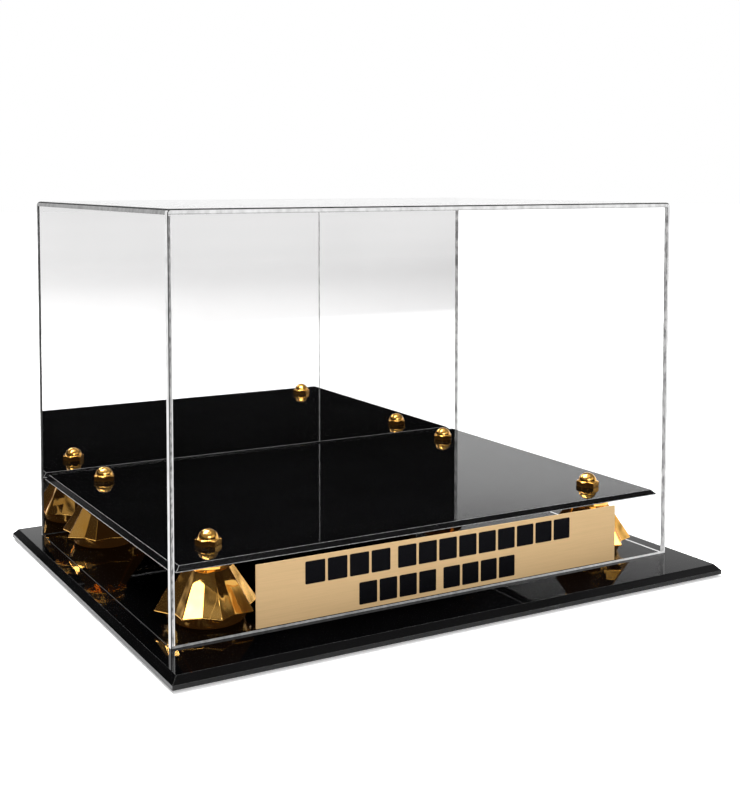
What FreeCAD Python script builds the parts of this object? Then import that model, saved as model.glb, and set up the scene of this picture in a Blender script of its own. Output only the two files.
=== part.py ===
import FreeCAD, Part
import os
import Sketcher

# A display case for a full-size football: a clear cover with a mirrored back, lifted straight off a black
# base that carries a raised platform on four pleated gold risers.
#
# Frame: millimetres, +X to the right along the front, +Y to the back, +Z up. The origin is the middle of the
# base board's outline, at the height of the surface that the case stands on.

SIZES = {
    # Low bumpers under the base
    "bumper_height": 1.6,
    "bumper_radius": 6.0,
    "bumper_tip_radius": 5.0,
    "bumper_inset": 24.0,
    "bumper_rounding": 0.5,
    # Base board, with a bevel over an upright land
    "base_length": 381.0,
    "base_depth": 318.0,
    "base_thickness": 6.35,
    "base_land": 2.6,
    "base_bevel": 3.5,
    # Display platform, bevelled almost to its underside
    "platform_length": 342.8,
    "platform_depth": 246.5,
    "platform_thickness": 3.0,
    "platform_land": 0.3,
    "platform_bevel": 2.7,
    # Where the platform is centred: a little left of the middle of the base and behind it
    "platform_left": 0.8,
    "platform_back": 6.2,
    # The four posts, each a riser, a bolt and a cap nut on one axis, and where their middle is
    "post_spacing_long": 278.0,
    "post_spacing_deep": 180.0,
    "post_left": 1.2,
    "post_back": 5.2,
    "riser_height": 40.25,
    # Riser: round foot, pleated skirt, neck and round collar
    "foot_low_radius": 20.5,
    "foot_top_radius": 23.5,
    "foot_height": 7.8,
    "foot_rounding": 4.5,
    "skirt_rim": 0.9,
    "skirt_low_radius": 29.2,
    "skirt_top_radius": 13.4,
    "skirt_height": 23.4,
    "pleat_share": 0.82,
    "collar_radius": 14.6,
    "collar_height": 2.6,
    "collar_rounding": 0.7,
    "neck_radius": 12.0,
    "pad_radius": 13.4,
    "pad_height": 1.8,
    # Bolt and its holes
    "bolt_radius": 3.95,
    "bolt_hole_radius": 4.3,
    "bolt_head_radius": 7.5,
    "bolt_head_height": 3.55,
    "bolt_head_gap": 0.3,
    "bolt_above_platform": 6.2,
    "bolt_tip_chamfer": 0.8,
    "socket_radius": 2.9,
    "socket_depth": 2.2,
    # Cap nut
    "nut_corner_radius": 7.65,
    "nut_hex_height": 3.8,
    "nut_corner_cut": 0.7,
    "dome_radius": 6.2,
    "dome_sink": 0.9,
    "nut_bore_radius": 4.05,
    "nut_bore_depth": 6.9,
    # Cover, bonded from four clear sheets and a mirrored back sheet
    "cover_length": 354.0,
    "cover_depth": 254.0,
    "cover_height": 236.4,
    "cover_right": 0.4,
    "cover_back": 6.3,
    "cover_wall": 3.175,
    "cover_seat_gap": 0.1,
    "cover_shoulder": 2.5,
    "cover_edge_break": 0.8,
    # Nameplate and its adhesive film
    "plate_length": 258.0,
    "plate_height": 36.2,
    "plate_thickness": 1.0,
    "plate_right": 2.2,
    "plate_above_base": 2.4,
    "tape_thickness": 0.4,
    "tape_inset": 1.5,
}

POSTS = {"front_left": (-1, -1), "front_right": (1, -1), "back_left": (-1, 1), "back_right": (1, 1)}

BASE_TOP = "(Sizes.bumper_height + Sizes.base_thickness)"
PLATFORM_TOP = f"({BASE_TOP} + Sizes.riser_height + Sizes.platform_thickness)"
COVER_FOOT = f"({BASE_TOP} + Sizes.cover_seat_gap)"
WALL_HEIGHT = "(Sizes.cover_height - Sizes.cover_wall)"
INNER_DEPTH = "(Sizes.cover_depth - 2 * Sizes.cover_wall)"
SKIRT_LOW = "(Sizes.foot_height + Sizes.skirt_rim)"
SKIRT_TOP = f"({SKIRT_LOW} + Sizes.skirt_height)"
COLLAR_TOP = f"({SKIRT_TOP} + Sizes.collar_height)"
# Across the flats of the nut's hexagon, halved
NUT_FLAT = "(Sizes.nut_corner_radius * cos(30 deg))"

TINY = 1e-6

doc = FreeCAD.newDocument("football_display_case")
sub_parts = []


def fill_sheet():
    """The driving dimensions, one row each: the name and the value that carries the alias."""
    sheet = doc.addObject("Spreadsheet::Sheet", "Sizes")
    for row, (alias, value) in enumerate(SIZES.items(), 1):
        sheet.set(f"A{row}", alias)
        sheet.set(f"B{row}", str(value))
        sheet.setAlias(f"B{row}", alias)
    doc.recompute()


# ---- building blocks ----


def new_body(label, x="0", y="0", z="0"):
    """A body whose origin is placed by three expressions."""
    body = doc.addObject("PartDesign::Body", label)
    body.Label = label
    for axis, expression in zip("xyz", (x, y, z)):
        body.setExpression(f"Placement.Base.{axis}", expression)
    sub_parts.append(body)
    return body


def attach(body, thing, x="0", y="0", z="0"):
    """Lays a sketch or a primitive on the body's own XY plane, moved by three expressions."""
    plane = next(f for f in body.Origin.OriginFeatures if f.Role == "XY_Plane")
    thing.AttachmentSupport = [(plane, "")]
    thing.MapMode = "FlatFace"
    for axis, expression in zip("xyz", (x, y, z)):
        thing.setExpression(f"AttachmentOffset.Base.{axis}", expression)


def primitive(body, kind, name, at=("0", "0", "0"), **sizes):
    """A PartDesign primitive whose sizes are expressions."""
    thing = body.newObject(f"PartDesign::{kind}", name)
    attach(body, thing, *at)
    for size, expression in sizes.items():
        thing.setExpression(size, expression)
    return thing


def bind_distance(sketch, name, direction, start, end, expression):
    """A horizontal or vertical distance between two sketch points, held to an expression."""
    guess = doc_value(expression)
    number = sketch.addConstraint(Sketcher.Constraint(direction, *start, *end, guess))
    sketch.renameConstraint(number, name)
    sketch.setExpression(f"Constraints.{name}", expression)


def doc_value(expression):
    """What an expression comes to now, as a plain number."""
    value = doc.getObject("Sizes").evalExpression(expression)
    return float(getattr(value, "Value", value))


def add_outline(sketch, points):
    """A closed outline of straight lines through the points."""
    following = points[1:] + points[:1]
    for start, end in zip(points, following):
        sketch.addGeometry(Part.LineSegment(FreeCAD.Vector(*start), FreeCAD.Vector(*end)), False)
    count = len(points)
    for line in range(count):
        sketch.addConstraint(Sketcher.Constraint("Coincident", line, 2, (line + 1) % count, 1))


def rectangle(body, name, length, depth, z="0"):
    """A sketch of a rectangle centred on the body's axis."""
    sketch = body.newObject("Sketcher::SketchObject", name)
    attach(body, sketch, z=z)
    half_x = doc_value(length) / 2
    half_y = doc_value(depth) / 2
    corners = [(-half_x, -half_y, 0), (half_x, -half_y, 0), (half_x, half_y, 0), (-half_x, half_y, 0)]
    add_outline(sketch, corners)
    for line, direction in enumerate(("Horizontal", "Vertical", "Horizontal", "Vertical")):
        sketch.addConstraint(Sketcher.Constraint(direction, line))
    sketch.addConstraint(Sketcher.Constraint("Symmetric", 0, 1, 2, 1, -1, 1))
    bind_distance(sketch, "length", "DistanceX", (0, 1), (0, 2), length)
    bind_distance(sketch, "depth", "DistanceY", (1, 1), (1, 2), depth)
    return sketch


def pleat(body, name, radius, z):
    """A sketch of one pleat: a kite from the axis to its outer fold, with an inner fold on each side."""
    sketch = body.newObject("Sketcher::SketchObject", name)
    attach(body, sketch, z=z)
    fold_x = f"{radius} * Sizes.pleat_share * cos(22.5 deg)"
    fold_y = f"{radius} * Sizes.pleat_share * sin(22.5 deg)"
    tip = doc_value(radius)
    near_x = doc_value(fold_x)
    near_y = doc_value(fold_y)
    add_outline(sketch, [(0, 0, 0), (near_x, -near_y, 0), (tip, 0, 0), (near_x, near_y, 0)])
    sketch.addConstraint(Sketcher.Constraint("Coincident", 0, 1, -1, 1))
    sketch.addConstraint(Sketcher.Constraint("PointOnObject", 2, 1, -1))
    sketch.addConstraint(Sketcher.Constraint("Symmetric", 1, 1, 3, 1, -1))
    bind_distance(sketch, "tip", "DistanceX", (-1, 1), (2, 1), radius)
    bind_distance(sketch, "fold_x", "DistanceX", (-1, 1), (3, 1), fold_x)
    bind_distance(sketch, "fold_y", "DistanceY", (-1, 1), (3, 1), fold_y)
    return sketch


def pad(body, name, sketch, length):
    """A sketch pushed up by an expression."""
    thing = body.newObject("PartDesign::Pad", name)
    thing.Profile = sketch
    thing.setExpression("Length", length)
    return thing


def loft(body, name, low, high):
    """A straight-sided loft from one sketch to another."""
    thing = body.newObject("PartDesign::AdditiveLoft", name)
    thing.Profile = low
    thing.Sections = [high]
    thing.Ruled = True
    return thing


def round_edges(body, name, base, wanted, radius):
    """Fillets the edges of base whose bounding box passes the test."""
    doc.recompute()
    names = [f"Edge{n}" for n, edge in enumerate(base.Shape.Edges, 1) if wanted(edge.BoundBox)]
    if not names:
        raise RuntimeError(f"{body.Label}: {name} finds no edge")
    thing = body.newObject("PartDesign::Fillet", name)
    thing.Base = (base, names)
    thing.setExpression("Radius", radius)
    return thing


def is_upright(box):
    """True for a straight edge along Z."""
    return box.XLength < TINY and box.YLength < TINY


def runs_deep(box):
    """True for a straight edge along Y."""
    return box.XLength < TINY and box.ZLength < TINY


def is_circle_at(box, height):
    """True for a level circle at a height in the body's own frame."""
    return box.ZLength < TINY and abs(box.ZMin - height) < TINY


def check_cut(body, before, name):
    """A cut that points away from the solid changes nothing, so the volume has to drop."""
    doc.recompute()
    if body.Shape.Volume >= before - TINY:
        raise RuntimeError(f"{body.Label}: {name} removes nothing")


# ---- the sub-parts ----


def bevelled_board(label, prefix, x, y, z):
    """A sheet with an upright land and a bevel all round its upper edge."""
    body = new_body(label, x, y, z)
    length = f"Sizes.{prefix}_length"
    depth = f"Sizes.{prefix}_depth"
    land = f"Sizes.{prefix}_land"
    bevel = f"Sizes.{prefix}_bevel"
    pad(body, "Land", rectangle(body, "LandOutline", length, depth), land)
    low = rectangle(body, "BevelLow", length, depth, land)
    high = rectangle(body, "BevelHigh", f"{length} - 2 * {bevel}", f"{depth} - 2 * {bevel}",
                     f"Sizes.{prefix}_thickness")
    loft(body, "Bevel", low, high)
    doc.recompute()
    return body


def post_axis(side, end):
    """Where a post's axis stands, as two expressions."""
    x = f"{side} * Sizes.post_spacing_long / 2 - Sizes.post_left"
    y = f"Sizes.post_back + {end} * Sizes.post_spacing_deep / 2"
    return x, y


def post_places(x="0", y="0"):
    """The four post axes in the frame of a board that is centred at x and y."""
    for side, end in POSTS.values():
        post_x, post_y = post_axis(side, end)
        yield f"{post_x} - ({x})", f"{post_y} - ({y})"


def base_board():
    """The base board, with a countersunk bolt hole under each post."""
    body = bevelled_board("base_board", "base", "0", "0", "Sizes.bumper_height")
    before = body.Shape.Volume
    for number, (x, y) in enumerate(post_places(), 1):
        primitive(body, "SubtractiveCylinder", f"BoltHole{number}", (x, y, "0"),
                  Radius="Sizes.bolt_hole_radius", Height="Sizes.base_thickness")
        primitive(body, "SubtractiveCone", f"Countersink{number}", (x, y, "0"),
                  Radius1="Sizes.bolt_head_radius + Sizes.bolt_head_gap",
                  Radius2="Sizes.bolt_radius + Sizes.bolt_head_gap",
                  Height="Sizes.bolt_head_height")
    check_cut(body, before, "bolt holes")


def display_platform():
    """The raised platform, with a plain bolt hole over each riser."""
    left = "-Sizes.platform_left"
    back = "Sizes.platform_back"
    body = bevelled_board("display_platform", "platform", left, back, f"{BASE_TOP} + Sizes.riser_height")
    before = body.Shape.Volume
    for number, (x, y) in enumerate(post_places(left, back), 1):
        primitive(body, "SubtractiveCylinder", f"BoltHole{number}", (x, y, "0"),
                  Radius="Sizes.bolt_hole_radius", Height="Sizes.platform_thickness")
    check_cut(body, before, "bolt holes")


def on_post(label, side, end, z):
    """A body whose axis is a post's."""
    x, y = post_axis(side, end)
    return new_body(label, x, y, z)


def riser(place, side, end):
    """A riser: a rounded foot, eight pleats that flare over it, a neck, and a collar under the platform."""
    body = on_post(f"riser_{place}", side, end, BASE_TOP)
    foot = primitive(body, "AdditiveCone", "Foot", Radius1="Sizes.foot_low_radius",
                     Radius2="Sizes.foot_top_radius", Height="Sizes.foot_height")
    round_edges(body, "FootRounding", foot, lambda box: is_circle_at(box, 0), "Sizes.foot_rounding")
    rim = pad(body, "SkirtRim", pleat(body, "RimPleat", "Sizes.skirt_low_radius", "Sizes.foot_height"),
              "Sizes.skirt_rim")
    low = pleat(body, "LowPleat", "Sizes.skirt_low_radius", SKIRT_LOW)
    high = pleat(body, "HighPleat", "Sizes.skirt_top_radius", SKIRT_TOP)
    skirt = loft(body, "Skirt", low, high)
    doc.recompute()
    pattern = body.newObject("PartDesign::PolarPattern", "Pleats")
    pattern.Originals = [rim, skirt]
    pattern.Axis = (next(f for f in body.Origin.OriginFeatures if f.Role == "Z_Axis"), [""])
    pattern.Angle = 360
    pattern.Occurrences = 8
    body.Tip = pattern
    doc.recompute()
    collar = primitive(body, "AdditiveCylinder", "Collar", ("0", "0", SKIRT_TOP),
                       Radius="Sizes.collar_radius", Height="Sizes.collar_height")
    collar_low = doc_value(SKIRT_TOP)
    collar_top = doc_value(COLLAR_TOP)
    round_edges(body, "CollarRounding", collar,
                lambda box: is_circle_at(box, collar_top) or is_circle_at(box, collar_low)
                and box.XLength > 2 * SIZES["collar_radius"] - TINY,
                "Sizes.collar_rounding")
    primitive(body, "AdditiveCylinder", "Neck", ("0", "0", SKIRT_TOP), Radius="Sizes.neck_radius",
              Height=f"Sizes.riser_height - {SKIRT_TOP}")
    primitive(body, "AdditiveCylinder", "TopPad", ("0", "0", "Sizes.riser_height - Sizes.pad_height"),
              Radius="Sizes.pad_radius", Height="Sizes.pad_height")
    doc.recompute()
    before = body.Shape.Volume
    primitive(body, "SubtractiveCylinder", "Bore", Radius="Sizes.bolt_hole_radius",
              Height="Sizes.riser_height")
    check_cut(body, before, "bore")


def riser_bolt(place, side, end):
    """A flat-headed bolt with a hexagon socket, from the underside of the base up into the cap nut."""
    body = on_post(f"riser_bolt_{place}", side, end, "Sizes.bumper_height")
    primitive(body, "AdditiveCone", "Head", Radius1="Sizes.bolt_head_radius", Radius2="Sizes.bolt_radius",
              Height="Sizes.bolt_head_height")
    length = f"{PLATFORM_TOP} - Sizes.bumper_height + Sizes.bolt_above_platform"
    shank = primitive(body, "AdditiveCylinder", "Shank", Radius="Sizes.bolt_radius", Height=length)
    doc.recompute()
    tip = doc_value(length)
    chamfer = body.newObject("PartDesign::Chamfer", "Tip")
    names = [f"Edge{n}" for n, edge in enumerate(shank.Shape.Edges, 1) if is_circle_at(edge.BoundBox, tip)]
    chamfer.Base = (shank, names)
    chamfer.setExpression("Size", "Sizes.bolt_tip_chamfer")
    doc.recompute()
    before = body.Shape.Volume
    primitive(body, "SubtractivePrism", "Socket", Circumradius="Sizes.socket_radius",
              Height="Sizes.socket_depth")
    check_cut(body, before, "socket")


def cap_nut(place, side, end):
    """A domed nut: a hexagon with its upper corners turned off and a dome on it, bored from below."""
    body = on_post(f"cap_nut_{place}", side, end, PLATFORM_TOP)
    primitive(body, "AdditivePrism", "Hexagon", Circumradius="Sizes.nut_corner_radius",
              Height="Sizes.nut_hex_height - Sizes.nut_corner_cut")
    primitive(body, "AdditiveCone", "Shoulder",
              ("0", "0", "Sizes.nut_hex_height - Sizes.nut_corner_cut"),
              Radius1=NUT_FLAT, Radius2=f"{NUT_FLAT} - Sizes.nut_corner_cut / 2",
              Height="Sizes.nut_corner_cut")
    dome = primitive(body, "AdditiveSphere", "Dome",
                     ("0", "0", "Sizes.nut_hex_height - Sizes.dome_sink"), Radius="Sizes.dome_radius")
    dome.Angle1 = 0
    doc.recompute()
    before = body.Shape.Volume
    primitive(body, "SubtractiveCylinder", "Bore", Radius="Sizes.nut_bore_radius",
              Height="Sizes.nut_bore_depth")
    check_cut(body, before, "bore")


def bumper(place, side, end):
    """A low round bumper that narrows a little towards the surface it stands on."""
    x = f"{side} * (Sizes.base_length / 2 - Sizes.bumper_inset)"
    y = f"{end} * (Sizes.base_depth / 2 - Sizes.bumper_inset)"
    body = new_body(f"bumper_{place}", x, y)
    cone = primitive(body, "AdditiveCone", "Bumper", Radius1="Sizes.bumper_tip_radius",
                     Radius2="Sizes.bumper_radius", Height="Sizes.bumper_height")
    round_edges(body, "Rounding", cone, lambda box: is_circle_at(box, 0), "Sizes.bumper_rounding")
    doc.recompute()


def cover_face(label, side):
    """The front or back sheet of the cover: full size, with rounded upper corners and its outer edge broken.
    Side is -1 for the front and 1 for the back."""
    y = f"Sizes.cover_back + {side} * (Sizes.cover_depth - Sizes.cover_wall) / 2"
    body = new_body(label, "Sizes.cover_right", y, COVER_FOOT)
    sheet = pad(body, "Sheet", rectangle(body, "Outline", "Sizes.cover_length", "Sizes.cover_wall"),
                "Sizes.cover_height")
    corners = round_edges(body, "UpperCorners", sheet,
                          lambda box: runs_deep(box) and box.ZMin > TINY, "Sizes.cover_shoulder")
    round_edges(body, "OuterEdge", corners,
                lambda box: is_upright(box) and box.YMin * side > 0, "Sizes.cover_edge_break")
    doc.recompute()


def cover_side(label, side):
    """A side sheet, between the front and back sheets. Side is -1 for the left and 1 for the right."""
    x = f"Sizes.cover_right + {side} * (Sizes.cover_length - Sizes.cover_wall) / 2"
    body = new_body(label, x, "Sizes.cover_back", COVER_FOOT)
    pad(body, "Sheet", rectangle(body, "Outline", "Sizes.cover_wall", INNER_DEPTH), WALL_HEIGHT)
    doc.recompute()


def cover_top():
    """The top sheet, which lies on the side sheets, with its two outer upper edges rounded."""
    z = f"{COVER_FOOT} + {WALL_HEIGHT}"
    body = new_body("cover_top_panel", "Sizes.cover_right", "Sizes.cover_back", z)
    outline = rectangle(body, "Outline", "Sizes.cover_length", INNER_DEPTH)
    sheet = pad(body, "Sheet", outline, "Sizes.cover_wall")
    round_edges(body, "Shoulders", sheet,
                lambda box: runs_deep(box) and box.ZMin > TINY, "Sizes.cover_shoulder")
    doc.recompute()


def plate_body(label, inset, thickness, front_gap):
    """A flat rectangle on the outside of the front panel: its back face stands front_gap off the panel."""
    y = f"Sizes.cover_back - Sizes.cover_depth / 2 - {front_gap} - {thickness} / 2"
    body = new_body(label, "Sizes.plate_right", y, f"{BASE_TOP} + Sizes.plate_above_base + {inset}")
    outline = rectangle(body, "Outline", f"Sizes.plate_length - 2 * {inset}", thickness)
    pad(body, "Sheet", outline, f"Sizes.plate_height - 2 * {inset}")
    doc.recompute()


def check_and_write():
    """Stops on any failed object or shape, then writes one file per sub-part."""
    doc.recompute()
    for thing in doc.Objects:
        if "Invalid" in thing.State or "Error" in thing.State:
            raise RuntimeError(f"{thing.Label}: {thing.State}")
    for body in sub_parts:
        shape = body.Shape
        if shape.isNull() or not shape.isValid() or len(shape.Solids) != 1:
            raise RuntimeError(f"{body.Label}: not one valid solid")
    os.makedirs("parts", exist_ok=True)
    for body in sub_parts:
        body.Shape.exportStep(f"parts/{body.Label}.step")
        print(f"{body.Label}: {body.Shape.Volume / 1000:.2f} cm3")


fill_sheet()
base_board()
display_platform()
for post, (post_side, post_end) in POSTS.items():
    riser(post, post_side, post_end)
    riser_bolt(post, post_side, post_end)
    cap_nut(post, post_side, post_end)
    bumper(post, post_side, post_end)
cover_face("cover_front_panel", -1)
cover_face("cover_mirror_back", 1)
cover_side("cover_left_panel", -1)
cover_side("cover_right_panel", 1)
cover_top()
plate_body("nameplate_tape", "Sizes.tape_inset", "Sizes.tape_thickness", "0")
plate_body("nameplate", "0", "Sizes.plate_thickness", "Sizes.tape_thickness")
check_and_write()
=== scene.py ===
import math

import bmesh
import bpy
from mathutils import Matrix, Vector


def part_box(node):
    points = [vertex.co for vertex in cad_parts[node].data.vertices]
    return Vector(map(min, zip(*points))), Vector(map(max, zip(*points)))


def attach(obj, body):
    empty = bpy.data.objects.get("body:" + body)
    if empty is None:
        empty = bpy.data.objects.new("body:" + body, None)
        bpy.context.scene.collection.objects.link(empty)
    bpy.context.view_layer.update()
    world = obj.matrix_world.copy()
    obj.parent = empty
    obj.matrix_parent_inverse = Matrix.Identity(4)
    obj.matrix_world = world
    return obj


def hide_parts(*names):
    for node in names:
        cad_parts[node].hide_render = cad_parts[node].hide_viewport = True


# The looks of a football display case: a clear cover with a mirrored back over a black base, with a raised
# platform on four pleated gold risers. Metres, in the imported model's frame.

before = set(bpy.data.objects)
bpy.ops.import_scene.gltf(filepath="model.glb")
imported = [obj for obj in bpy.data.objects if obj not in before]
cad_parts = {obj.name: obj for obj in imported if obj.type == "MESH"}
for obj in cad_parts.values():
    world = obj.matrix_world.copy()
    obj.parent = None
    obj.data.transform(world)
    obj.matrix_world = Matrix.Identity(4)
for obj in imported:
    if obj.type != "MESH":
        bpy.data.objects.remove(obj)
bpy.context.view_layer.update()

MM = 0.001
COVER_TOP = 245 * MM
PLACES = ("front_left", "front_right", "back_left", "back_right")

# ---- node trees ----


class Shader:
    """A node tree built by short calls: a socket is given another socket, to link, or a constant."""

    def __init__(self, owner, output):
        owner.use_nodes = True
        self.owner = owner
        self.tree = owner.node_tree
        self.tree.nodes.clear()
        self.output = self.add(output)

    def add(self, kind, sockets=None, **settings):
        node = self.tree.nodes.new(kind)
        for name, value in settings.items():
            setattr(node, name, value)
        for name, value in (sockets or {}).items():
            if isinstance(value, bpy.types.NodeSocket):
                self.tree.links.new(value, node.inputs[name])
            else:
                node.inputs[name].default_value = value
        return node

    def coordinates(self, stretch=(1, 1, 1)):
        """The piece's own coordinates, in metres, with each axis multiplied by its stretch."""
        place = self.add("ShaderNodeTexCoord").outputs["Object"]
        return self.add("ShaderNodeMapping", {"Vector": place, "Scale": stretch}).outputs["Vector"]

    def along(self, axis):
        """How far along one of the piece's own axes, in metres."""
        return self.add("ShaderNodeSeparateXYZ", {"Vector": self.coordinates()}).outputs[axis]

    def noise(self, scale, detail=3.0, stretch=(1, 1, 1)):
        sockets = {"Vector": self.coordinates(stretch), "Scale": scale, "Detail": detail}
        return self.add("ShaderNodeTexNoise", sockets).outputs["Fac"]

    def share(self, value, low, high):
        """Where a value lies between two others, from 0 to 1."""
        sockets = {"Value": value, "From Min": low, "From Max": high}
        return self.add("ShaderNodeMapRange", sockets).outputs["Result"]

    def ramp(self, factor, *stops):
        """A colour ramp over (position, colour) stops, where a colour is a grey level or three numbers."""
        node = self.add("ShaderNodeValToRGB", {"Fac": factor})
        elements = node.color_ramp.elements
        while len(elements) < len(stops):
            elements.new(0.5)
        for element, (position, colour) in zip(elements, stops):
            element.position = position
            element.color = rgba(colour)
        return node.outputs["Color"]

    def mix(self, share, first, second):
        """A mix of two colours: the first at a share of 0, the second at 1."""
        sockets = {"Factor": share, 6: first, 7: second}
        return self.add("ShaderNodeMix", sockets, data_type="RGBA").outputs[2]

    def seen_directly(self):
        """1 for what the camera sees directly, 0 for what a reflection or another surface sees."""
        return self.add("ShaderNodeLightPath").outputs["Is Camera Ray"]

    def bump(self, height, strength, distance):
        sockets = {"Height": height, "Strength": strength, "Distance": distance}
        return self.add("ShaderNodeBump", sockets).outputs["Normal"]

    def finish(self, surface):
        self.tree.links.new(surface, self.output.inputs["Surface"])
        return self.owner


def rgba(colour):
    """Four channels from a grey level or three numbers."""
    if isinstance(colour, (int, float)):
        return (colour, colour, colour, 1)
    return (*colour, 1)


def new_material(name):
    return Shader(bpy.data.materials.new(name), "ShaderNodeOutputMaterial")


def principled(shader, sockets):
    return shader.add("ShaderNodeBsdfPrincipled", sockets).outputs["BSDF"]


# ---- materials ----


def black_acrylic():
    """Gloss black sheet, with the faint unevenness of cast acrylic and a haze of handling."""
    s = new_material("black_acrylic")
    haze = s.noise(26, 4)
    surface = principled(s, {
        "Base Color": s.ramp(haze, (0.3, (0.0008, 0.0008, 0.0009)), (0.8, (0.0018, 0.0018, 0.0020))),
        "Roughness": s.ramp(haze, (0.3, 0.006), (0.85, 0.020)),
        "Normal": s.bump(haze, 0.02, 0.0002),
        "IOR": 1.34,
    })
    return s.finish(surface)


def clear_acrylic():
    """The faces of a clear sheet: they bend the light a little and only shine at a low angle."""
    s = new_material("clear_acrylic")
    haze = s.noise(14, 3)
    bend = s.add("ShaderNodeBsdfRefraction", {
        "Color": s.ramp(haze, (0.2, 0.988), (0.8, 1.0)),
        "Roughness": 0.0,
        "IOR": 1.49,
    })
    shine = s.add("ShaderNodeBsdfGlossy", {
        "Color": rgba(1.0),
        "Roughness": s.ramp(haze, (0.3, 0.01), (0.8, 0.03)),
    })
    fresnel = s.add("ShaderNodeFresnel", {"IOR": 1.49}).outputs["Fac"]
    glass = s.add("ShaderNodeMixShader", {
        0: s.share(fresnel, 0.3, 1.0),
        1: bend.outputs["BSDF"],
        2: shine.outputs["BSDF"],
    })
    through = s.add("ShaderNodeBsdfTransparent")
    mixed = s.add("ShaderNodeMixShader", {
        0: s.add("ShaderNodeLightPath").outputs["Is Shadow Ray"],
        1: glass.outputs["Shader"],
        2: through.outputs["BSDF"],
    })
    return s.finish(mixed.outputs["Shader"])


def glowing_rim(name, mottle_scale, top, foot):
    """The rim of a clear sheet, painted with light it gives off: mottled tones between darkest and brightest,
    at its top and foot.
    """
    s = new_material(name)
    mottle = s.noise(mottle_scale, 5, (1, 1, 0.5))
    at_foot = s.ramp(mottle, (0.35, foot[0]), (0.62, foot[1]))
    at_top = s.ramp(mottle, (0.35, top[0]), (0.62, top[1]))
    tone = s.mix(s.share(s.along("Z"), 0.0, COVER_TOP), at_foot, at_top)
    return s.finish(rim_surface(s, mottle, tone))


def rim_surface(s, mottle, tone):
    """A black body that gives off a painted tone of light."""
    return principled(s, {
        "Base Color": rgba(0.02),
        "Roughness": s.ramp(mottle, (0.3, 0.35), (0.7, 0.15)),
        "Normal": s.bump(mottle, 0.3, 0.0002),
        "Specular IOR Level": 0.0,
        "Emission Color": tone,
        "Emission Strength": 1.0,
    })


def foot_line():
    """A painted bright line of light along the foot of the front sheet, brightest towards its right end."""
    s = new_material("foot_line")
    mottle = s.noise(420, 4)
    rightwards = s.share(s.along("X"), -0.177, 0.177)
    even = s.ramp(rightwards, (0.0, 0.22), (0.55, 0.26), (0.80, 0.50), (1.0, 0.90))
    tone = s.mix(0.35, even, s.ramp(mottle, (0.35, 0.12), (0.65, 0.45)))
    return s.finish(rim_surface(s, mottle, tone))


def mirror_silver():
    """The silvered back of the mirrored sheet, very slightly wavy."""
    s = new_material("mirror_silver")
    wave = s.noise(7, 1)
    surface = principled(s, {
        "Base Color": s.ramp(wave, (0.3, (0.92, 0.915, 0.915)), (0.8, (0.95, 0.945, 0.945))),
        "Metallic": 1.0,
        "Roughness": s.ramp(wave, (0.3, 0.004), (0.8, 0.016)),
        "Normal": s.bump(wave, 0.02, 0.0004),
    })
    return s.finish(surface)


def mirror_paint():
    """The grey paint that protects the silvering, with roller stipple."""
    s = new_material("mirror_paint")
    stipple = s.noise(700, 4)
    surface = principled(s, {
        "Base Color": s.ramp(stipple, (0.3, (0.085, 0.090, 0.095)), (0.7, (0.125, 0.130, 0.135))),
        "Roughness": s.ramp(stipple, (0.3, 0.55), (0.7, 0.70)),
        "Normal": s.bump(stipple, 0.35, 0.0003),
    })
    return s.finish(surface)


def acrylic_glint(name, low, high):
    """Painted glints on the polished corners of a black sheet, which give off a little light of their own,
    with small nicks.
    """
    s = new_material(name)
    nicks_and_glint = s.noise(600, 3)
    surface = principled(s, {
        "Base Color": s.ramp(nicks_and_glint, (0.3, 0.02), (0.7, 0.05)),
        "Roughness": s.ramp(nicks_and_glint, (0.3, 0.15), (0.7, 0.30)),
        "Normal": s.bump(nicks_and_glint, 0.1, 0.0001),
        # Painted glint: the corners glow between a low and a high tone
        "Emission Color": s.ramp(nicks_and_glint, (0.3, low), (0.7, high)),
        "Emission Strength": 1.0,
    })
    return s.finish(surface)


def gold_plating(name, ripple):
    """Bright gold plating on a cast part, with slow ripples, small changes of tone and a faint painted glow.
    """
    s = new_material(name)
    tone = s.noise(60, 3)
    wave = s.noise(75, 1)
    surface = principled(s, {
        "Base Color": s.ramp(tone, (0.3, (0.90, 0.455, 0.085)), (0.75, (0.97, 0.575, 0.16))),
        "Metallic": 1.0,
        "Roughness": s.ramp(tone, (0.3, 0.03), (0.8, 0.08)),
        "Normal": s.bump(wave, ripple, 0.0008),
        # Painted light: a faint brown glow that lifts the darkest facets
        "Emission Color": rgba((0.018, 0.007, 0.0015)),
        "Emission Strength": 1.0,
    })
    return s.finish(surface)


def brushed_gold():
    """A gold-toned plate brushed along its length, lighter and darker in broad patches, which gives off its
    own tone as painted light.
    """
    s = new_material("brushed_gold")
    grain = s.noise(60, 6, (0.6, 1, 28))
    broad = s.noise(5, 1)
    streaks = s.ramp(grain, (0.25, (0.31, 0.21, 0.105)), (0.75, (0.37, 0.25, 0.13)))
    patches = s.ramp(broad, (0.35, (0.32, 0.215, 0.107)), (0.65, (0.37, 0.26, 0.135)))
    tone = s.mix(0.4, streaks, patches)
    surface = principled(s, {
        "Base Color": tone,
        "Metallic": 0.3,
        "Roughness": s.ramp(grain, (0.3, 0.42), (0.7, 0.55)),
        "Normal": s.bump(grain, 0.15, 0.0002),
        "Specular IOR Level": 0.1,
        # Painted light: the plate glows with its own tone
        "Emission Color": tone,
        "Emission Strength": 1.0,
    })
    return s.finish(surface)


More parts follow.
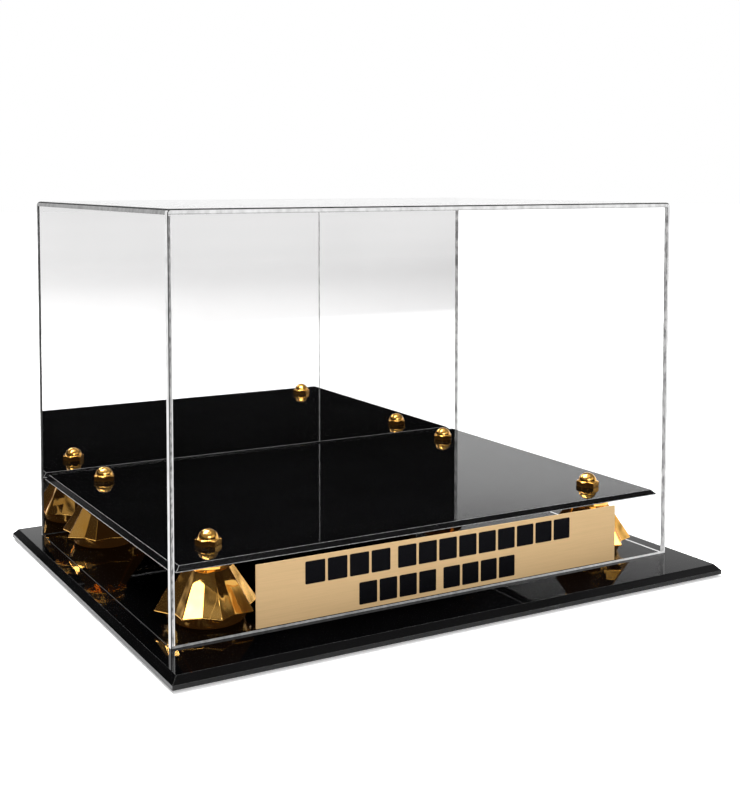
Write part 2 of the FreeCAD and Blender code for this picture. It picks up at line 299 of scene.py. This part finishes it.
def engraving_black():
    """The black fill of an engraved mark."""
    s = new_material("engraving_black")
    pits = s.noise(1400, 3)
    surface = principled(s, {
        "Base Color": s.ramp(pits, (0.3, (0.003, 0.003, 0.004)), (0.7, (0.007, 0.007, 0.009))),
        "Roughness": s.ramp(pits, (0.3, 0.5), (0.7, 0.7)),
        "Normal": s.bump(pits, 0.2, 0.0001),
        "Specular IOR Level": 0.03,
    })
    return s.finish(surface)


def bolt_steel():
    """Zinc-plated steel with turning marks."""
    s = new_material("bolt_steel")
    turning = s.noise(500, 3, (1, 1, 6))
    surface = principled(s, {
        "Base Color": s.ramp(turning, (0.3, (0.42, 0.43, 0.45)), (0.7, (0.62, 0.63, 0.64))),
        "Metallic": 1.0,
        "Roughness": s.ramp(turning, (0.3, 0.22), (0.7, 0.38)),
        "Normal": s.bump(turning, 0.15, 0.0002),
    })
    return s.finish(surface)


def bumper_rubber():
    """Matt black rubber."""
    s = new_material("bumper_rubber")
    grain = s.noise(1800, 4)
    surface = principled(s, {
        "Base Color": s.ramp(grain, (0.3, 0.012), (0.7, 0.024)),
        "Roughness": s.ramp(grain, (0.3, 0.7), (0.7, 0.9)),
        "Normal": s.bump(grain, 0.4, 0.0002),
    })
    return s.finish(surface)


def adhesive_film():
    """Milky double-sided film."""
    s = new_material("adhesive_film")
    fibres = s.noise(420, 5, (1, 1, 0.2))
    surface = principled(s, {
        "Base Color": s.ramp(fibres, (0.3, (0.55, 0.54, 0.50)), (0.7, (0.72, 0.71, 0.67))),
        "Roughness": s.ramp(fibres, (0.3, 0.5), (0.7, 0.7)),
        "Normal": s.bump(fibres, 0.2, 0.0002),
    })
    return s.finish(surface)


def floor_paper():
    """Seamless white paper with painted light: it glows white where the camera sees it directly, and for
    reflections gives off a painted tone, dark near the case and pale grey where it runs out to the front; its
    glow is weaker near the case.
    """
    s = new_material("floor_paper")
    fibre = s.noise(240, 4)
    sockets = {"Vector": s.coordinates((0.5, 0.5, 0.5))}
    near = s.add("ShaderNodeTexGradient", sockets, gradient_type="SPHERICAL").outputs["Fac"]
    forward = s.share(s.along("Y"), -6.0, -0.8)
    runout = s.ramp(forward, (0.04, 0.49), (0.43, 0.43), (0.64, 0.32), (0.78, 0.13), (0.94, 0.0), (1.0, 1.0))
    mirrored = s.mix(s.ramp(near, (0.45, 0.0), (0.80, 1.0)), runout, rgba(0.0))
    surface = principled(s, {
        "Base Color": s.ramp(fibre, (0.3, 0.88), (0.7, 0.92)),
        "Roughness": s.ramp(fibre, (0.3, 0.8), (0.7, 0.95)),
        "Specular IOR Level": 0.0,
        "Normal": s.bump(fibre, 0.05, 0.0005),
        # Painted light and painted reflection: white to the camera, the painted tone to everything else
        "Emission Color": s.mix(s.seen_directly(), mirrored, rgba(1.0)),
        "Emission Strength": s.ramp(near, (0.45, 1.0), (0.85, 0.45)),
    })
    return s.finish(surface)


# ---- mesh code ----

WELD = 0.001 * MM
FLAT = math.radians(1)
SHARP = math.radians(24)


def cad_copy(node):
    """A copy of a CAD node's mesh with its corners welded and the triangles of each flat face joined."""
    bm = bmesh.new()
    bm.from_mesh(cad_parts[node].data)
    bmesh.ops.remove_doubles(bm, verts=bm.verts, dist=WELD)
    bmesh.ops.dissolve_limit(bm, angle_limit=FLAT, verts=bm.verts, edges=bm.edges)
    return bm


def draw_in(bm, gap):
    """Moves each side of a mesh in by a hair, so that bonded faces don't lie in one plane."""
    low, high = mesh_box(bm)
    middle = (low + high) / 2
    half = (high - low) / 2
    for vert in bm.verts:
        for axis in range(3):
            vert.co[axis] = middle[axis] + (vert.co[axis] - middle[axis]) * (half[axis] - gap) / half[axis]


def mesh_box(bm):
    low = Vector([min(v.co[axis] for v in bm.verts) for axis in range(3)])
    high = Vector([max(v.co[axis] for v in bm.verts) for axis in range(3)])
    return low, high


def add_piece(name, bm, body, materials, stands_for=()):
    """Turns a bmesh into a flat-shaded piece that rides on a body and stands for CAD nodes."""
    mesh = bpy.data.meshes.new(name)
    for face in bm.faces:
        face.smooth = False
    bmesh.ops.recalc_face_normals(bm, faces=bm.faces)
    bm.to_mesh(mesh)
    bm.free()
    for material in materials:
        mesh.materials.append(material)
    piece = bpy.data.objects.new(name, mesh)
    bpy.context.scene.collection.objects.link(piece)
    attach(piece, body)
    if stands_for:
        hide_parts(*stands_for)
    return piece


def shade(piece, bevel=0.0):
    """Smooth shading that keeps broad faces flat, with an optional bevel on the sharp edges."""
    for polygon in piece.data.polygons:
        polygon.use_smooth = True
    if bevel:
        rounding = piece.modifiers.new("Edges", "BEVEL")
        rounding.width = bevel
        rounding.segments = 3
        rounding.limit_method = "ANGLE"
        rounding.angle_limit = SHARP
    normals = piece.modifiers.new("Normals", "WEIGHTED_NORMAL")
    normals.weight = 100
    return piece


def refined(node, body, materials, bevel):
    """A CAD node's shape with softened edges, which show the last material."""
    piece = add_piece(f"{node}_look", cad_copy(node), body, materials, [node])
    shade(piece, bevel)
    piece.modifiers["Edges"].material = len(materials) - 1
    return piece


def fold_angles(corners):
    """Angles round a turn, close together at the corners and half-way between them."""
    step = math.pi / corners
    shares = (0, 0.016, 0.05, 0.2, 0.36, 0.5, 0.64, 0.8, 0.95, 0.984)
    return [(half + share) * step for half in range(2 * corners) for share in shares]


def softened(radius, angle):
    """A radius function with its corners eased over about a degree."""
    ease = math.radians(0.6)
    return (radius(angle - ease) + radius(angle) + radius(angle + ease)) / 3


def ring_mesh(rings, angles, centre, turn):
    """A closed surface through level rings of (radius or radius function, height), turned about its axis."""
    bm = bmesh.new()
    rows = []
    for radius, height in rings:
        if radius == 0:
            rows.append([bm.verts.new(centre + Vector((0, 0, height)))])
            continue
        row = []
        for angle in angles:
            reach = softened(radius, angle) if callable(radius) else radius
            spot = Vector((reach * math.cos(angle + turn), reach * math.sin(angle + turn), height))
            row.append(bm.verts.new(centre + spot))
        rows.append(row)
    poles = any(len(row) == 1 for row in rows)
    pairs = zip(rows, rows[1:]) if poles else zip(rows, rows[1:] + rows[:1])
    count = len(angles)
    for low, high in pairs:
        for k in range(count):
            here = (k, (k + 1) % count)
            corners = [low[0]] if len(low) == 1 else [low[here[0]], low[here[1]]]
            corners += [high[0]] if len(high) == 1 else [high[here[1]], high[here[0]]]
            bm.faces.new(corners)
    return bm


def profile(*points):
    """Points (radius, height) from their values in millimetres."""
    return [(radius * MM, height * MM) for radius, height in points]


def arc(middle, radius, start, end, count):
    """Points (radius, height) along an arc in a profile, between two angles in degrees."""
    points = []
    for k in range(count + 1):
        angle = math.radians(start + (end - start) * k / count)
        points.append((middle[0] + radius * math.cos(angle), middle[1] + radius * math.sin(angle)))
    return points


# ---- the stand ----

# How far each riser and each nut is turned on its post
RISER_TURNS = {"front_left": -8, "front_right": 12, "back_left": 15, "back_right": -12}
NUT_TURNS = {"front_left": -22.4, "front_right": 20.3, "back_left": 8, "back_right": -5}

RISER_BORE = 4.3 * MM
PLEATS = 8
# How far the inner folds reach, as a share of the outer ones
FOLD_SHARE = 0.82
# In millimetres: the skirt's outer folds from its rim to its neck, and the pad, measured down from the top
SKIRT = ((28.75, 7.80), (29.05, 7.88), (29.20, 8.10), (29.20, 8.45), (29.08, 8.72), (28.80, 9.10),
         (21.00, 20.80), (13.60, 31.80), (13.40, 32.10))
PAD = ((12.0, 1.9), (12.2, 1.8), (13.2, 1.8), (13.4, 1.6), (13.4, 0.2), (13.2, 0.0))


def pleat_share(angle):
    """How far the pleated outline reaches at an angle, as a share of its outer folds."""
    half = math.pi / PLEATS
    turn = abs((angle + half) % (2 * half) - half)
    slope = (1 / FOLD_SHARE - math.cos(half)) / math.sin(half)
    return 1 / (math.cos(turn) + slope * math.sin(turn))


def pleated(radius):
    return lambda angle: radius * pleat_share(angle)


def riser(place, material):
    """A pleated riser: round foot, skirt with a thin rim, round collar, neck and pad, bored through."""
    node = f"riser_{place}"
    low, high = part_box(node)
    centre = Vector(((low.x + high.x) / 2, (low.y + high.y) / 2, low.z))
    height = high.z - low.z
    foot = arc((17.41 * MM, 4.5 * MM), 4.5 * MM, -90, -21, 8)
    rings = [(RISER_BORE, 0.0), *foot, *profile((23.5, 7.8))]
    rings += [(pleated(radius), rise) for radius, rise in profile(*SKIRT)]
    rings += arc((13.9 * MM, 32.8 * MM), 0.7 * MM, -90, 0, 4)
    rings += arc((13.9 * MM, 34.0 * MM), 0.7 * MM, 0, 90, 4)
    rings += profile((12.2, 34.7), (12.0, 34.9))
    rings += [(radius, height - drop) for radius, drop in profile(*PAD)]
    rings.append((RISER_BORE, height))
    bm = ring_mesh(rings, fold_angles(PLEATS), centre, math.radians(RISER_TURNS[place]))
    return shade(add_piece(f"{node}_look", bm, "stand", [material], [node]))


def hexagonal(corner, limit=1.0):
    """A hexagon's outline, cut back to a circle of the limiting radius."""
    def radius(angle):
        turn = abs((angle + math.pi / 6) % (math.pi / 3) - math.pi / 6)
        return min(corner * math.cos(math.pi / 6) / math.cos(math.pi / 6 - turn), limit)
    return radius


# The nut's bore from its end to its mouth, its hexagon from the seat up and its dome, in millimetres
NUT_BORE = ((0, 6.9), (4.05, 6.9), (4.05, 0.2), (4.25, 0.0))
NUT_CORNER = 7.65 * MM
NUT_SIDES = ((0.35, 0.0), (0.10, 0.08), (0.0, 0.30), (0.0, 2.95))
NUT_SHOULDER = ((7.60, 3.05), (7.20, 3.45), (6.80, 3.72), (6.50, 3.80))
DOME_RADIUS = 6.20 * MM
DOME_CENTRE = 2.9 * MM


def cap_nut(place, material):
    """A domed nut: a hexagon with turned-off corners and a dome on it, bored from below."""
    node = f"cap_nut_{place}"
    low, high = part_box(node)
    centre = Vector(((low.x + high.x) / 2, (low.y + high.y) / 2, low.z))
    rings = profile(*NUT_BORE)
    rings += [(hexagonal(NUT_CORNER - inset), rise) for inset, rise in profile(*NUT_SIDES)]
    rings += [(hexagonal(NUT_CORNER, limit), rise) for limit, rise in profile(*NUT_SHOULDER)]
    rings += profile((6.20, 3.80))
    dome = arc((0, DOME_CENTRE), DOME_RADIUS, 9, 90, 20)
    rings += dome[:-1] + [(0, high.z - low.z)]
    bm = ring_mesh(rings, fold_angles(6), centre, math.radians(NUT_TURNS[place]))
    return shade(add_piece(f"{node}_look", bm, "stand", [material], [node]))


def stand():
    """The base, the platform and what holds it up."""
    acrylic = black_acrylic()
    faint_glint = acrylic_glint("acrylic_glint_base", 0.01, 0.06)
    glint = acrylic_glint("acrylic_glint_platform", 0.16, 0.42)
    cast_gold = gold_plating("gold_plating", 1.0)
    turned_gold = gold_plating("gold_plating_turned", 0.02)
    steel = bolt_steel()
    rubber = bumper_rubber()
    refined("base_board", "stand", [acrylic, faint_glint], 0.05 * MM)
    refined("display_platform", "stand", [acrylic, glint], 0.12 * MM)
    for place in PLACES:
        riser(place, cast_gold)
        cap_nut(place, turned_gold)
        refined(f"riser_bolt_{place}", "stand", [steel], 0.20 * MM)
        refined(f"bumper_{place}", "stand", [rubber], 0.20 * MM)


# ---- the cover ----

SEAM = 0.02 * MM
PAINT = 1.1 * MM
# A rim face over the least area has a border, and a face whose normal is nearly an axis counts as along it
BORDER = 0.8 * MM
LEAST_RIM = 100 * MM * MM
ALONG = 0.99
# The painted bright line of light along the front's foot, and the painted dark reflection along the left
# sheet's back edge
FOOT_LINE = 1.3 * MM
BACK_LINE = 4.0 * MM

# The painted light that each sheet's rim gives off, as a border tone and a core tone, by the way it faces.
# The other rim faces get the dark painted tone
RIMS = {
    "cover_front_panel": {"-x": ("white", "white"), "+x": ("white", "white"), "-z": ("foot", "foot")},
    "cover_left_panel": {"-y": ("white", "mottled")},
    "cover_right_panel": {"-y": ("grey", "grey"), "+y": ("grey", "grey"), "-z": ("white", "white")},
    "cover_top_panel": {"-x": ("middle", "middle"), "+x": ("middle", "middle"), "-y": ("lined", "white"),
                        "+y": ("lined", "white")},
    "cover_mirror_back": {"-x": ("grey", "dark"), "+x": ("middle", "middle")},
}


def rim_materials():
    """The tones of painted light that the rims give off."""
    return {
        "white": glowing_rim("rim_white", 300, (0.66, 0.86), (0.80, 0.95)),
        "mottled": glowing_rim("rim_mottled", 520, (0.16, 0.36), (0.13, 0.60)),
        "grey": glowing_rim("rim_grey", 420, (0.12, 0.46), (0.26, 0.58)),
        "middle": glowing_rim("rim_middle", 300, (0.26, 0.38), (0.26, 0.38)),
        "lined": glowing_rim("rim_lined", 300, (0.43, 0.56), (0.43, 0.56)),
        "dark": glowing_rim("rim_dark", 420, (0.006, 0.06), (0.004, 0.02)),
        "foot": foot_line(),
    }


def facing(normal):
    """The way a face looks, as a sign and an axis."""
    axis = max(range(3), key=lambda k: abs(normal[k]))
    return ("+" if normal[axis] > 0 else "-") + "xyz"[axis]


def mark_rims(bm, node, axis, slots):
    """Gives the broad faces across an axis the clear material, and each rim face a border and a core."""
    cores = {}
    for face in bm.faces:
        if abs(face.normal[axis]) > ALONG:
            face.material_index = 0
            continue
        border, core = RIMS[node].get(facing(face.normal), ("dark", "dark"))
        face.material_index = slots.index(border)
        if face.calc_area() > LEAST_RIM:
            cores[face] = slots.index(core)
    bmesh.ops.inset_individual(bm, faces=list(cores), thickness=BORDER, depth=0)
    for face, index in cores.items():
        face.material_index = index


def clear_sheet(node, axis, clear, rims):
    """A clear sheet of the cover, with a rim that gives off painted light; the front sheet also gets a
    painted bright line at its foot, and the left sheet a painted dark strip by its back edge.
    """
    bm = cad_copy(node)
    draw_in(bm, SEAM)
    bm.normal_update()
    slots = ["clear", *rims]
    mark_rims(bm, node, axis, slots)
    low, high = mesh_box(bm)
    # The front sheet's painted bright line of light along its foot
    if node == "cover_front_panel":
        place = Vector((0, 0, low.z + FOOT_LINE))
        mark_strip(bm, Vector((0, -1, 0)), place, Vector((0, 0, 1)), slots.index("foot"))
    # The left sheet's painted dark reflection along its back edge
    if node == "cover_left_panel":
        place = Vector((0, high.y - BACK_LINE, 0))
        mark_strip(bm, Vector((-1, 0, 0)), place, Vector((0, -1, 0)), slots.index("dark"))
    return add_piece(f"{node}_look", bm, "cover", [clear, *rims.values()], [node])


def mark_strip(bm, outward, place, inward, index):
    """Gives another material to the strip of a sheet's outer face that lies beyond a place."""
    geometry = [*bm.verts, *bm.edges, *bm.faces]
    bmesh.ops.bisect_plane(bm, geom=geometry, plane_co=place, plane_no=inward)
    bm.normal_update()
    for face in bm.faces:
        beyond = (face.calc_center_median() - place).dot(inward) < 0
        if beyond and face.normal.dot(outward) > ALONG:
            face.material_index = index


def mirror_sheet(clear, rims, silver, paint):
    """The mirrored back: a clear sheet with the silvering behind it, and the paint behind that."""
    node = "cover_mirror_back"
    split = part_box(node)[1].y - PAINT
    front = cad_copy(node)
    draw_in(front, SEAM)
    cut_at(front, split, keep_front=True)
    slots = ["clear", *rims, "silver"]
    mark_rims(front, node, 1, slots)
    for face in front.faces:
        if face.normal.y > ALONG:
            face.material_index = slots.index("silver")
    add_piece("mirror_sheet_look", front, "cover", [clear, *rims.values(), silver], [node])
    back = cad_copy(node)
    draw_in(back, SEAM)
    cut_at(back, split + SEAM, keep_front=False)
    return add_piece("mirror_backing_look", back, "cover", [paint])


def cut_at(bm, depth, keep_front):
    """Cuts a mesh at a depth along Y and closes the cut."""
    geometry = [*bm.verts, *bm.edges, *bm.faces]
    cut = bmesh.ops.bisect_plane(bm, geom=geometry, plane_co=(0, depth, 0), plane_no=(0, 1, 0),
                                 clear_outer=keep_front, clear_inner=not keep_front)
    edges = [item for item in cut["geom_cut"] if isinstance(item, bmesh.types.BMEdge)]
    bmesh.ops.holes_fill(bm, edges=edges)
    bm.normal_update()


def rounded_block(bm, x, z, width, height, front, depth, radius):
    """Adds a flat block with rounded corners that faces -Y."""
    outline = []
    for corner, (side_x, side_z) in enumerate(((1, 1), (-1, 1), (-1, -1), (1, -1))):
        middle = Vector((x + side_x * (width / 2 - radius), 0, z + side_z * (height / 2 - radius)))
        for step in range(5):
            angle = math.radians(90 * corner + 22.5 * step)
            outline.append(middle + Vector((math.cos(angle), 0, math.sin(angle))) * radius)
    near = [bm.verts.new((p.x, front, p.z)) for p in outline]
    far = [bm.verts.new((p.x, front + depth, p.z)) for p in outline]
    bm.faces.new(near)
    bm.faces.new(far[::-1])
    count = len(outline)
    for k in range(count):
        bm.faces.new((near[k], far[k], far[(k + 1) % count], near[(k + 1) % count]))


# Two lines of plain upright blocks: the number of blocks in each group, and the line's ends and height
ENGRAVED_LINES = (
    ((4, 9), -98.5 * MM, 91.3 * MM, 26.9 * MM),
    ((4, 4), -63.4 * MM, 48.0 * MM, 9.2 * MM),
)
BLOCK_HEIGHT = 13.2 * MM
BLOCK_GAP = 1.6 * MM
GROUP_GAP = 5.2 * MM
BLOCK_CORNER = 0.8 * MM
FILL_DEPTH = 0.06 * MM


def engraving(plate_low, plate_high, material):
    """Plain black blocks in two lines, where a plate carries its text."""
    bm = bmesh.new()
    centre = (plate_low.x + plate_high.x) / 2
    for groups, left, right, middle in ENGRAVED_LINES:
        z = plate_low.z + middle
        room = right - left - (len(groups) - 1) * GROUP_GAP - (sum(groups) - len(groups)) * BLOCK_GAP
        width = room / sum(groups)
        x = centre + left + width / 2
        for group in groups:
            for _ in range(group):
                rounded_block(bm, x, z, width, BLOCK_HEIGHT, plate_low.y - FILL_DEPTH / 2, FILL_DEPTH,
                              BLOCK_CORNER)
                x += width + BLOCK_GAP
            x += GROUP_GAP - BLOCK_GAP
    return add_piece("engraving_look", bm, "cover", [material])


def cover():
    """The clear cover with its mirrored back and the nameplate."""
    clear = clear_acrylic()
    rims = rim_materials()
    clear_sheet("cover_front_panel", 1, clear, rims)
    clear_sheet("cover_left_panel", 0, clear, rims)
    clear_sheet("cover_right_panel", 0, clear, rims)
    clear_sheet("cover_top_panel", 2, clear, rims)
    mirror_sheet(clear, rims, mirror_silver(), mirror_paint())
    plate = refined("nameplate", "cover", [brushed_gold()], 0.12 * MM)
    tape = refined("nameplate_tape", "cover", [adhesive_film()], 0.05 * MM)
    marks = engraving(*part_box("nameplate"), engraving_black())
    for piece in (plate, tape, marks):
        piece.visible_glossy = False


# ---- the room ----

FLOOR_HALF_WIDTH = 9.0
FLOOR_GAP = 0.05 * MM


def floor():
    """A wide pale floor."""
    bm = bmesh.new()
    bmesh.ops.create_grid(bm, x_segments=8, y_segments=8, size=FLOOR_HALF_WIDTH)
    mesh = bpy.data.meshes.new("floor")
    bm.to_mesh(mesh)
    bm.free()
    mesh.materials.append(floor_paper())
    plane = bpy.data.objects.new("floor", mesh)
    plane.location.z = -FLOOR_GAP
    bpy.context.scene.collection.objects.link(plane)


def softbox(name, place, target, width, height, power):
    """A rectangular soft light that points at a target."""
    data = bpy.data.lights.new(name, "AREA")
    data.shape = "RECTANGLE"
    data.size = width
    data.size_y = height
    data.energy = power
    light = bpy.data.objects.new(name, data)
    light.location = place
    light.rotation_euler = (Vector(target) - Vector(place)).to_track_quat("-Z", "Y").to_euler()
    bpy.context.scene.collection.objects.link(light)


def studio():
    """A white sweep behind and below, and a dark studio in front above it. Heights run from 0, straight down,
    through 0.5, level, to 1, straight up."""
    world = bpy.data.worlds.new("studio")
    bpy.context.scene.world = world
    s = Shader(world, "ShaderNodeOutputWorld")
    direction = s.add("ShaderNodeTexCoord").outputs["Generated"]
    split = s.add("ShaderNodeSeparateXYZ", {"Vector": direction})
    height = s.share(split.outputs["Z"], -1.0, 1.0)
    backwards = s.share(split.outputs["Y"], -0.55, -0.15)
    rightwards = s.share(split.outputs["X"], -0.30, -0.10)
    sweep = s.ramp(height, (0.50, 1.0), (0.618, 1.0), (0.65, 0.40), (0.668, 0.04), (0.75, 0.2),
                   (0.93, 0.3), (0.96, 0.9))
    front = s.ramp(height, (0.50, 0.85), (0.515, 0.80), (0.54, 0.008), (0.68, 0.008), (0.73, 0.85),
                   (0.83, 0.85), (0.86, 0.2), (0.93, 0.3), (0.96, 0.9))
    left = s.ramp(height, (0.50, 0.9), (0.53, 0.5), (0.56, 0.03), (0.73, 0.03), (0.77, 0.3),
                  (0.93, 0.3), (0.96, 0.9))
    room = s.mix(rightwards, left, s.mix(backwards, front, sweep))
    colour = s.mix(s.seen_directly(), room, rgba(1.0))
    surface = s.add("ShaderNodeBackground", {"Color": colour, "Strength": 1.0})
    s.finish(surface.outputs["Background"])
    middle = (0, 0, 0.1)
    softbox("overhead", (-0.5, 0.7, 2.2), middle, 1.8, 1.4, 90)
    softbox("front", (-0.34, -1.73, 1.31), middle, 1.0, 0.5, 9)


def camera():
    """A camera a little above the cover's top, in front of its left corner."""
    data = bpy.data.cameras.new("camera")
    data.lens = 56.87
    data.shift_y = -0.1875
    data.clip_start = 0.01
    data.clip_end = 60
    eye = bpy.data.objects.new("camera", data)
    eye.location = (-0.4155, -0.7510, 0.2601)
    eye.rotation_euler = (math.radians(90 - 3.21), 0, math.radians(-29.89))
    bpy.context.scene.collection.objects.link(eye)
    bpy.context.scene.camera = eye


stand()
cover()
floor()
studio()
camera()
bpy.context.scene.view_settings.view_transform = "Standard"
